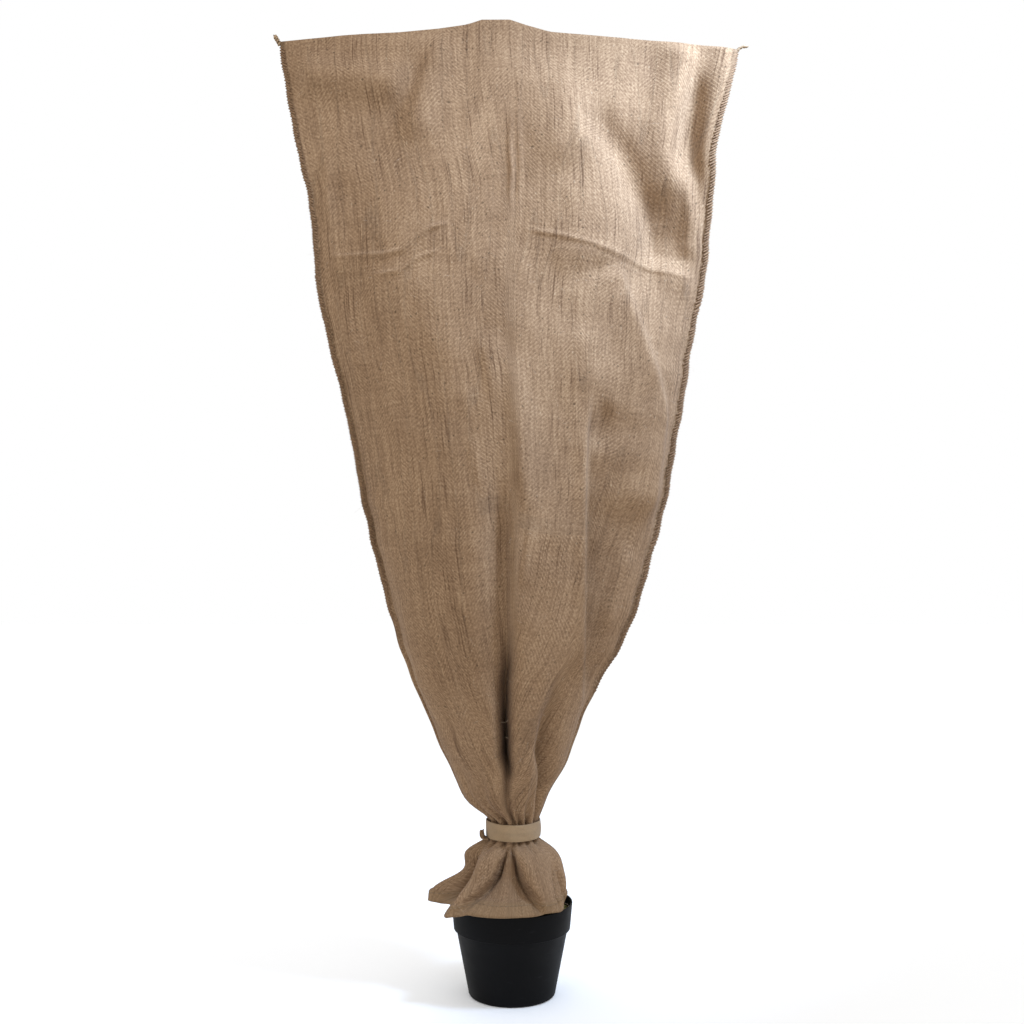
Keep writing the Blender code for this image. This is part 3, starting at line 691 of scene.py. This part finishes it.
def juteMaterial():
    # coarse jute, matt and hairy, its threads uneven in thickness and colour
    material, tree, shader = newMaterial(
        "coarseJute", Roughness=0.9, Specular_IOR_Level=0.12, Sheen_Weight=0.03, Sheen_Roughness=0.5
    )
    add, spots = partial(addNode, tree), partial(patches, tree)
    place = add("Attribute", out="Vector", attribute_name="thread")
    band, flange = [add("Attribute", out="Fac", attribute_name=name) for name in ("band", "flange")]
    # threads wander a little from their straight lines
    wander = add("TexNoise", {"Vector": place, "Scale": 70.0, "Detail": 2.0}, out="Color")
    shift = add("VectorMath", (wander, (0.5, 0.5, 0.5)), operation="SUBTRACT")
    shift = add("VectorMath", {0: shift, "Scale": weave["wander"]}, operation="SCALE")
    moved = add("VectorMath", (place, shift), operation="ADD")
    split = add("SeparateXYZ", (moved,)).node.outputs
    # the twill's slanting lines lean one way or the other in upright bands of the cloth
    way = spots(place, (weave["bandWidth"], 1 / 3, 1.0), 0.0, 0.47, 0.50, -1.0, 1.0)
    slant = add("Math", (split[1], way, split[0]), operation="MULTIPLY_ADD")
    slant = add("Math", (slant, 2 * pi / (3 * weave["pitch"])), operation="MULTIPLY")
    twill = add("Math", (slant,), operation="SINE")
    # each way's threads are rounded, and lie on top where the twill says
    heights = []
    for direction, onTop in ((0, 0.4), (1, -0.4)):
        wave = add("Math", (split[direction], pi / weave["pitch"]), operation="MULTIPLY")
        for operation in ("SINE", "ABSOLUTE"):
            wave = add("Math", (wave,), operation=operation)
        wave = add("Math", (wave, 0.6), operation="POWER")
        over = add("Math", (twill, onTop, 0.6), operation="MULTIPLY_ADD")
        heights.append(add("Math", (wave, over), operation="MULTIPLY"))
    height = add("Math", heights, operation="MAXIMUM")
    # thick and thin threads, which run down the cloth and, fainter, across it
    slubWidth, slubLength = weave["slub"]
    warp = spots(moved, (slubWidth, slubLength, 1.0), 2.0, 0.30, 0.70)
    weft = spots(moved, (1.3 * slubLength, slubWidth, 1.0), 2.0, 0.32, 0.68)
    tone = spots(place, 1 / 9, 3.0, 0.3, 0.7)
    grit = spots(place, 1 / 300, 1.0, 0.3, 0.7)
    crisp = spots(place, 1 / 24, 1.0, 0.38, 0.62, 0.35, 1.0)
    # the threads' height goes into the colour too: painted shade between the threads and a painted highlight
    # on their tops
    shade = add("MapRange", (height, 0.25, 1.0, 0.0, 0.08))
    for part, weight in ((warp, 0.22), (weft, 0.10), (tone, 0.16), (grit, 0.32)):
        shade = add("Math", (part, weight, shade), operation="MULTIPLY_ADD")
    lines = add("Math", (twill, crisp), operation="MULTIPLY")
    shade = add("Math", (lines, 0.095, shade), operation="MULTIPLY_ADD")
    # single darker threads, broken off here and there
    dark = spots(place, (*weave["darkThread"], 1.0), 1.0, 0.58, 0.72)
    gather = spots(place, (1 / 14, 1 / 2.4, 1.0), 1.0, 0.40, 0.62, 0.25, 1.0)
    dark = add("Math", (dark, gather), operation="MULTIPLY")
    shade = add("Math", (dark, -0.42, shade), operation="MULTIPLY_ADD")
    colour = add("ValToRGB", (shade,), stops=((0.05, "#5F4733"), (0.45, "#856A50"), (0.90, "#A98D6E")))
    # dark bits of bark, pale flecks of fibre, the seam's flange painted darker (partly the overlocked seam's
    # own darker colour, partly painted shade along the seam) and the yellower doubled hem
    bark = spots(place, 1 / 230, 0.0, 0.755, 0.80, 0.0, 0.6)
    fleck = spots(place, (1 / 330, 1 / 160, 1.0), 0.0, 0.79, 0.84, 0.0, 0.35)
    # painted shade along the seam, mixed with the overlocked seam's own darker colour
    seamToneAndShade = add("Math", (flange, 0.5), operation="MULTIPLY")
    hemShare = add("Math", (band, 0.45), operation="MULTIPLY")
    for share, code in ((bark, "#3A2C1E"), (fleck, "#B29C80"), (seamToneAndShade, "#4E3C2A"), (hemShare, "#7E664A")):
        colour = add("Mix", {0: share, 6: colour, 7: hexColour(code)}, out=2, data_type="RGBA")
    relief = add("Math", (height, 0.6), operation="MULTIPLY")
    for part, weight in ((warp, 0.5), (twill, 0.16)):
        relief = add("Math", (part, weight, relief), operation="MULTIPLY_ADD")
    dress(tree, shader, colour, relief, weave["relief"], 0.7)
    return material


def twineMaterial(name, dark, light, roughness=0.85):
    # loosely spun thread: matt, its colour uneven along its length
    material, tree, shader = newMaterial(name, Roughness=roughness, Specular_IOR_Level=0.3)
    uneven = patches(tree, addNode(tree, "TexCoord", out="Object"), 1 / 260)
    dress(tree, shader, addNode(tree, "ValToRGB", (uneven,), stops=((0.35, dark), (0.65, light))))
    return material


say("cloth")
sackPiece, rings, bodyRows = buildSack(juteMaterial())
settle(sackPiece, "jute", "sack")
say(f"cloth of {rings.shape[0]} rings, {rings.shape[1]} points each")


def seamLine(side, z):
    line = rings[len(foldLifts) : bodyRows, tips[side]]
    return np.array([np.interp(-z, -line[:, 2], line[:, axis]) for axis in (0, 1)])


def buildOverlock(material):
    piece = newThreads("overlockStitches", material, seamThread["radius"])
    chance = np.random.default_rng(11)
    half, thinnest = flatHalf + seamThread["lift"], seamThread["thinnest"]
    slant, jitter = seamThread["slant"], seamThread["jitter"]
    for side, inward, top, end in zip(("left", "right"), (1.0, -1.0), seamThread["tops"], seamThread["ends"]):
        for z in np.arange(top, end, -seamThread["pitch"]):
            z = z + chance.uniform(-jitter, jitter)
            reach = min(seamThread["reach"], seamThread["mostOfSeam"] * float(atLevel(z, "seam")))
            reach *= chance.uniform(*seamThread["evenness"])
            x, y = seamLine(side, z)
            points = []
            for depth, outward, along in seamThread["route"]:
                shift = reach * depth if depth else -seamThread["lift"]
                points.append((x + inward * shift, y + half * outward, z + slant * along))
            # the stitches grow thinner towards the seam's end
            grown = float(ease((z - end) / seamThread["thinOver"]))
            thick = chance.uniform(*seamThread["thickness"]) * (thinnest + (1 - thinnest) * grown)
            addThread(piece, points, [thick] * len(points))
    return piece


# the thread chain runs on past the two top corners: two strands twisted round each other, ending in a fray
chain = {"radius": 0.001612, "swing": 0.0016, "twist": 4.5, "steps": 34, "frayFrom": 0.35, "fray": 0.45}
chainRoutes = (
    ((-0.3085, 0, 1.261), (-0.3110, -0.001, 1.266), (-0.3135, -0.002, 1.270), (-0.3150, -0.003, 1.2735)),
    (
        (0.2935, -0.008, 1.244), (0.2965, -0.008, 1.248), (0.3005, -0.009, 1.253), (0.3065, -0.010, 1.2555),
        (0.3115, -0.010, 1.255),
    ),
)


def buildTails(material):
    piece = newThreads("seamTails", material, chain["radius"])
    for route in chainRoutes:
        t, middle = smoothRoute(route, chain["steps"])
        for phase in (0.0, pi):
            winding = chain["twist"] * t + phase
            swing = chain["swing"] * np.stack([np.cos(winding), np.sin(winding), 0.3 * np.cos(winding)], 1)
            addThread(piece, middle + swing, np.where(t > t[-1] - chain["frayFrom"], chain["fray"], 1.0))
    return piece


# the end of the side seam's thread chain comes out below the strap, frayed, and curls up beside it
fray = {
    "count": 30,
    "radius": 0.0014,
    "x": -0.0322,
    "y": (-0.014, 0.002),
    "z": 0.2078,
    "out": (0.0050, 0.0100),
    "rise": (0.004, 0.013),
    "aside": (-0.004, 0.001),
}


def buildTuft(material):
    piece = newThreads("frayedTuft", material, fray["radius"])
    chance = np.random.default_rng(17)
    for _ in range(fray["count"]):
        start = np.array([fray["x"], chance.uniform(*fray["y"]), fray["z"]])
        out, rise, aside = [chance.uniform(*fray[way]) for way in ("out", "rise", "aside")]
        t = np.linspace(0, 1, 8)[:, None]
        points = start + np.hstack([-out * (1 - (1 - t) ** 3), aside * t, rise * t * t])
        addThread(piece, points, 1 - 0.5 * t[:, 0])
    return piece


# one row of running stitches goes round just under the hem's upper edge
hemThread = {"radius": 0.00042, "pitch": 0.0062, "stitch": 0.0042, "lift": 0.0006, "lastGap": 0.005}


def buildHemStitches(material):
    piece = newThreads("hemStitches", material, hemThread["radius"])
    line = rings[-sack["hemRows"]]
    closed = np.concatenate([line, line[:1]])
    outward = closed - closed.mean(0)
    outward[:, 2] = 0
    outward /= np.linalg.norm(outward, axis=1)[:, None]
    run = np.concatenate([[0], np.cumsum(np.linalg.norm(np.diff(closed, axis=0), axis=1))])
    for place in np.arange(0, run[-1] - hemThread["lastGap"], hemThread["pitch"]):
        at = place + np.linspace(0, hemThread["stitch"], 4)
        points, out = [
            np.stack([np.interp(at, run, column) for column in values.T], 1) for values in (closed, outward)
        ]
        addThread(piece, points + out * np.array([[0.0], [1.0], [1.0], [0.0]]) * hemThread["lift"])
    return piece


say("sewing")
overlock = buildOverlock(twineMaterial("seamTwine", "#644A34", "#83664A"))
tails = buildTails(twineMaterial("chainTwine", "#6E583F", "#A48A6C"))
tuft = buildTuft(twineMaterial("frayedTwine", "#6E563E", "#94785A"))
hemStitches = buildHemStitches(twineMaterial("hemTwine", "#6C5843", "#937D63"))

# stray fibres stand off the cloth
fibres = {"count": 420, "length": (0.006, 0.016), "radius": 0.00009, "curl": 0.35, "lift": 0.0002}


def buildFibres(material):
    piece = newThreads("looseFibres", material, fibres["radius"], 0)
    chance = np.random.default_rng(23)
    rows, columns = rings.shape[:2]
    t = np.linspace(0, 1, 6)[:, None]
    for _ in range(fibres["count"]):
        row, column = int(chance.integers(6, rows - 3)), int(chance.integers(0, columns))
        start = rings[row, column]
        ahead = rings[row + 1, column] - start
        beside = rings[row, (column + 1) % columns] - start
        out = np.cross(beside, ahead)
        out = out / max(np.linalg.norm(out), 1e-9)
        if out @ (start - (0.0, 0.0, start[2])) < 0:
            out = -out
        along = chance.normal(size=3)
        along = along / np.linalg.norm(along)
        length = chance.uniform(*fibres["length"])
        curl = chance.normal(size=3) * fibres["curl"]
        bow = out * (t - t * t) * 1.1 + out * 0.12 * t
        points = start + length * (along * t * 0.8 + bow + curl * t * t * 0.4)
        below = (points - start) @ out
        points = points + out * np.maximum(fibres["lift"] - below, 0)[:, None]
        addThread(piece, points, 1 - 0.6 * t[:, 0])
    return piece


# ends of thread that have come loose inside the front pleat, as (x, z)
loose = {"radius": 0.0003, "y": -0.052, "sway": 0.004, "steps": 12}
looseRoutes = (
    ((-0.021, 0.373), (-0.015, 0.368), (-0.008, 0.369), (-0.003, 0.374)),
    ((-0.004, 0.371), (-0.002, 0.376), (-0.004, 0.380)),
    ((-0.008, 0.349), (-0.002, 0.345), (0.000, 0.347)),
    ((-0.001, 0.345), (0.001, 0.341), (-0.002, 0.339)),
)


def buildPleatThreads(material):
    piece = newThreads("pleatThreads", material, loose["radius"])
    for route in looseRoutes:
        t, points = smoothRoute(route, loose["steps"])
        addThread(piece, np.insert(points, 1, loose["y"] + loose["sway"] * np.sin(2 * t), axis=1))
    return piece


paleFibre = twineMaterial("paleFibre", "#96806A", "#C4B299", 0.75)
sewing = [overlock, tails, tuft, hemStitches, buildFibres(paleFibre), buildPleatThreads(paleFibre)]
for piece in sewing:
    settle(piece, "jute")


# the strap is one smooth flat band drawn tight round the neck
strap = {
    "width": 0.0220,
    "foot": 0.2095,
    "thickness": 0.0014,
    "gap": 0.0003,
    "edge": 0.0004,
    "swell": 0.0006,
    "waver": 0.0004,
    "steps": 96,
    "rows": 10,
    "rib": 0.0016,
}


def buildStrap(material):
    bm = bmesh.new()
    radius = sack["neckRadius"] + strap["gap"] + strap["thickness"]
    bmesh.ops.create_circle(bm, segments=strap["steps"], radius=radius)
    loop = list(bm.edges)
    for _ in range(strap["rows"]):
        grown = bmesh.ops.extrude_edge_only(bm, edges=loop)["geom"]
        loop = [part for part in grown if isinstance(part, bmesh.types.BMEdge)]
        raised = [part for part in grown if isinstance(part, bmesh.types.BMVert)]
        bmesh.ops.translate(bm, verts=raised, vec=(0, 0, strap["width"] / strap["rows"]))
    bmesh.ops.recalc_face_normals(bm, faces=bm.faces)
    waver = strap["waver"]
    for vert in bm.verts:
        share = vert.co.z / strap["width"]
        turn = np.arctan2(vert.co.y, vert.co.x)
        # pulled a little tighter at its edges, and not quite level
        swell = strap["swell"] * sin(pi * share)
        swell += waver * sin(3 * turn + 0.6) + 0.75 * waver * sin(7 * turn + 4 * share)
        vert.co.x *= 1 + swell / radius
        vert.co.y *= 1 + swell / radius
        vert.co.z += strap["foot"] + waver * sin(2 * turn + 1.0)
        vert.co.x += sack["neckX"]
    piece = finishPiece(bm, "strapBand", material)
    wall = piece.modifiers.new("webbing", "SOLIDIFY")
    wall.thickness = strap["thickness"]
    wall.offset = -1.0
    rim = piece.modifiers.new("edges", "BEVEL")
    rim.width = strap["edge"]
    rim.segments = 2
    rim.limit_method = "ANGLE"
    return piece


def webbingMaterial():
    # tightly woven flat band, smoother than the hessian, with faint ribs along it
    material, tree, shader = newMaterial("webbing", Roughness=0.78, Specular_IOR_Level=0.35, Sheen_Weight=0.1)
    add = partial(addNode, tree)
    place = add("TexCoord", out="Object")
    height = add("SeparateXYZ", (place,), out="Z")
    ribs = add("Math", (height, 2 * pi / strap["rib"]), operation="MULTIPLY")
    ribs = add("Math", (ribs,), operation="SINE")
    grain = patches(tree, place, 1 / 700)
    shade = add("MapRange", (grain, 0.3, 0.7, 0.0, 0.4))
    tone = patches(tree, place, (1 / 40, 1 / 40, 1 / 120), 2.0, 0.3, 0.7, 0.0, 0.5)
    shade = add("Math", (shade, tone), operation="ADD")
    shade = add("Math", (ribs, 0.05, shade), operation="MULTIPLY_ADD")
    colour = add("ValToRGB", (shade,), stops=((0.0, "#826C51"), (1.0, "#997F5F")))
    dress(tree, shader, colour, add("Math", (ribs, grain), operation="ADD"), 0.00012)
    return material


# the pot is a thin-walled round nursery pot with a deeper rim band
pot = {
    "height": 0.1232,
    "rimRadius": 0.0803,
    "rimFootRadius": 0.0773,
    "rimFoot": 0.0880,
    "bodyRadius": 0.0738,
    "footRadius": 0.0579,
    "flatRadius": 0.0520,
    "wall": 0.0022,
    "corner": 0.0045,
    "edge": 0.0006,
    "steps": 144,
}


def potInside(z):
    # radius of the inner wall at a height
    heights = [0.0, pot["rimFoot"], pot["rimFoot"] + pot["wall"], pot["height"]]
    radii = [pot[name] for name in ("footRadius", "bodyRadius", "rimFootRadius", "rimRadius")]
    return float(np.interp(z, heights, radii)) - pot["wall"]


def buildPot(material):
    wall, lip, corner, edge = pot["wall"], pot["wall"] / 2, pot["corner"], pot["edge"]
    rimFoot = pot["rimFoot"]
    # the profile runs up inside, over the rounded lip, down outside, and along the base to the middle
    profile = [(0.0, wall), (potInside(wall) - wall, wall)]
    profile += [(potInside(z), z) for z in (2 * wall, rimFoot, rimFoot + wall)]
    for a in np.linspace(pi, 0, 9):
        profile.append((pot["rimRadius"] - lip + lip * cos(a), pot["height"] - lip + lip * sin(a)))
    profile += [(pot["rimFootRadius"], rimFoot + edge), (pot["rimFootRadius"] - edge, rimFoot)]
    profile += [(pot["bodyRadius"] + edge, rimFoot - edge / 2), (pot["bodyRadius"], rimFoot - 2 * edge)]
    for a in np.linspace(0, radians(-75), 7):
        profile.append((pot["footRadius"] - corner + corner * cos(a), corner + corner * sin(a)))
    profile += [(pot["flatRadius"], 0.0), (0.0, 0.0)]
    bm = bmesh.new()
    verts = [bm.verts.new((radius, 0, z)) for radius, z in profile]
    edges = [bm.edges.new(pair) for pair in zip(verts, verts[1:])]
    bmesh.ops.spin(
        bm, geom=verts + edges, axis=(0, 0, 1), cent=(0, 0, 0), angle=2 * pi, steps=pot["steps"],
        use_merge=True,
    )
    bmesh.ops.remove_doubles(bm, verts=bm.verts, dist=0.00001)
    bmesh.ops.recalc_face_normals(bm, faces=bm.faces)
    piece = finishPiece(bm, "blackPot", material)
    piece.data.set_sharp_from_angle(angle=radians(38))
    return piece


def potMaterial():
    # black moulded polypropylene: satin, with a haze of dust and faint scuffs
    material, tree, shader = newMaterial("blackPolypropylene", Specular_IOR_Level=0.09)
    add = partial(addNode, tree)
    place = add("TexCoord", out="Object")
    haze = patches(tree, place, 1 / 26, 4.0)
    dust = add("MapRange", (haze, 0.4, 0.8, 0.0, 0.35))
    scuff = patches(tree, place, (1 / 60, 1 / 60, 1 / 240), 3.0, 0.64, 0.72, 0.0, 0.25)
    colour = hexColour("#050506")
    for share, code in ((dust, "#0E0E10"), (scuff, "#242427")):
        colour = add("Mix", {0: share, 6: colour, 7: hexColour(code)}, out=2, data_type="RGBA")
    dress(tree, shader, colour, patches(tree, place, 1 / 900, 1.0), 0.00004)
    tree.links.new(add("MapRange", (haze, 0.3, 0.7, 0.5, 0.64)), shader.inputs["Roughness"])
    return material


# the fill is moss and peat, a little heaped, with short tufts
fill = {
    "edge": 0.1110,
    "crown": 0.1165,
    "radius": 0.0762,
    "foot": 0.0900,
    "footRadius": 0.0712,
    "lump": 0.0016,
    "sunk": 0.0006,
    "cuts": 14,
    "tufts": 520,
    "tuftRadius": 0.00028,
    "tuftRing": 0.0735,
    "tuftLength": (0.003, 0.0055),
    "tuftBend": 0.0022,
    "tuftFoot": 0.002,
}


def fillHeight(share):
    # share runs from the middle to the fill's edge
    return fill["edge"] + (fill["crown"] - fill["edge"]) * (1 - share**3)


def buildFill(material):
    bm = bmesh.new()
    bmesh.ops.create_circle(bm, segments=96, radius=fill["radius"], cap_ends=True, cap_tris=True)
    spokes = [edge for edge in bm.edges if not edge.is_boundary]
    bmesh.ops.subdivide_edges(bm, edges=spokes, cuts=fill["cuts"], use_grid_fill=True)
    for vert in bm.verts:
        share = Vector(vert.co.xy).length / fill["radius"]
        lump = ripple(vert.co.x, vert.co.y, 0.012, 4) + 0.5 * ripple(vert.co.x, vert.co.y, 0.005, 6)
        vert.co.z = fillHeight(share) + fill["lump"] * lump * (1 - share**8) - fill["sunk"]
    sunk = bmesh.ops.extrude_edge_only(bm, edges=[edge for edge in bm.edges if edge.is_boundary])["geom"]
    for vert in [part for part in sunk if isinstance(part, bmesh.types.BMVert)]:
        vert.co.z = fill["foot"]
        vert.co.xy = Vector(vert.co.xy).normalized() * fill["footRadius"]
    bmesh.ops.contextual_create(bm, geom=[part for part in sunk if isinstance(part, bmesh.types.BMEdge)])
    bmesh.ops.recalc_face_normals(bm, faces=bm.faces)
    return finishPiece(bm, "mossFill", material)


def buildMossTufts(material):
    piece = newThreads("mossTufts", material, fill["tuftRadius"], 0)
    chance = np.random.default_rng(31)
    t = np.linspace(0, 1, 5)
    for _ in range(fill["tufts"]):
        radius, angle = fill["tuftRing"] * chance.uniform(0.05, 1) ** 0.5, chance.uniform(0, 2 * pi)
        x, y = radius * cos(angle), radius * sin(angle)
        foot = fillHeight(radius / fill["radius"]) - fill["tuftFoot"]
        # they lean at random, and a little towards the middle
        bend = chance.normal(size=2) * fill["tuftBend"] - np.array([x, y]) * 0.02
        length = chance.uniform(*fill["tuftLength"])
        points = np.stack([x + bend[0] * t * t, y + bend[1] * t * t, foot + length * t], 1)
        addThread(piece, points, 1 - 0.7 * t)
    return piece


def mossMaterial(name, dark, middle, light):
    # dry moss over peat: matt, olive with straw-coloured tips
    material, tree, shader = newMaterial(name, Roughness=0.95, Specular_IOR_Level=0.2)
    place = addNode(tree, "TexCoord", out="Object")
    stops = ((0.32, dark), (0.5, middle), (0.68, light))
    colour = addNode(tree, "ValToRGB", (patches(tree, place, 1 / 330, 4.0),), stops=stops)
    dress(tree, shader, colour, patches(tree, place, 1 / 500, 3.0), 0.0006)
    return material


say("strap, pot and fill")
settle(buildStrap(webbingMaterial()), "webbing", "strap")
settle(buildPot(potMaterial()), "pot_plastic", "pot")
settle(buildFill(mossMaterial("mossBed", "#2E2712", "#5C5226", "#8A7C3E")), "moss", "pot_fill")
settle(buildMossTufts(mossMaterial("mossTips", "#4F4A1E", "#7D7434", "#A89A55")), "moss")


# plain white studio: even light from all round and two softboxes high in front, the stronger on the right
studio = {
    "cameraDistance": 1.82,
    "cameraHeight": 0.64,
    "focalPixels": 1368.0,
    "framePixels": 1024,
    "sensorWidth": 36.0,
    "worldStrength": 1.0,
    "floorHalf": 6.0,
    "floorGlow": 0.06,
}
# each softbox's name, place, aim, size, power, spread in degrees and colour
softboxes = (
    ("softboxRight", (0.65, -0.37, 1.62), (0.27, 0, 1.11), 0.35, 5.4, 60, "#BCD8FF"),
    ("softboxFront", (-0.30, -0.85, 1.80), (-0.16, 0, 1.05), 0.5, 0.68, 56, "#E6F0FF"),
)


def addLight(name, place, aim, size, power, spread, colour):
    light = bpy.data.lights.new(name, "AREA")
    light.shape = "DISK"
    light.size = size
    light.energy = power
    light.spread = radians(spread)
    light.color = hexColour(colour)[:3]
    lamp = linkPiece(name, light)
    lamp.location = place
    lamp.rotation_euler = (Vector(aim) - Vector(place)).to_track_quat("-Z", "Y").to_euler()


def buildStage():
    bm = bmesh.new()
    bmesh.ops.create_grid(bm, x_segments=1, y_segments=1, size=studio["floorHalf"])
    floorMaterial, _, _ = newMaterial(
        "paleFloor", "#FAFAFA", Roughness=0.9,
        Emission_Color=(1, 1, 1, 1), Emission_Strength=studio["floorGlow"],
    )
    finishPiece(bm, "paleFloor", floorMaterial, smooth=False)
    world = bpy.data.worlds.new("studio")
    world.use_nodes = True
    background = world.node_tree.nodes["Background"]
    background.inputs["Color"].default_value = (1, 1, 1, 1)
    background.inputs["Strength"].default_value = studio["worldStrength"]
    bpy.context.scene.world = world
    bpy.context.scene.view_settings.view_transform = "Standard"
    for softbox in softboxes:
        addLight(*softbox)


def buildCamera():
    lens = bpy.data.cameras.new("camera")
    lens.sensor_width = studio["sensorWidth"]
    lens.lens = studio["sensorWidth"] * studio["focalPixels"] / studio["framePixels"]
    camera = linkPiece("camera", lens)
    camera.location = (0.0, -studio["cameraDistance"], studio["cameraHeight"])
    camera.rotation_euler = (radians(90), 0, 0)
    bpy.context.scene.camera = camera


say("studio")
buildStage()
buildCamera()
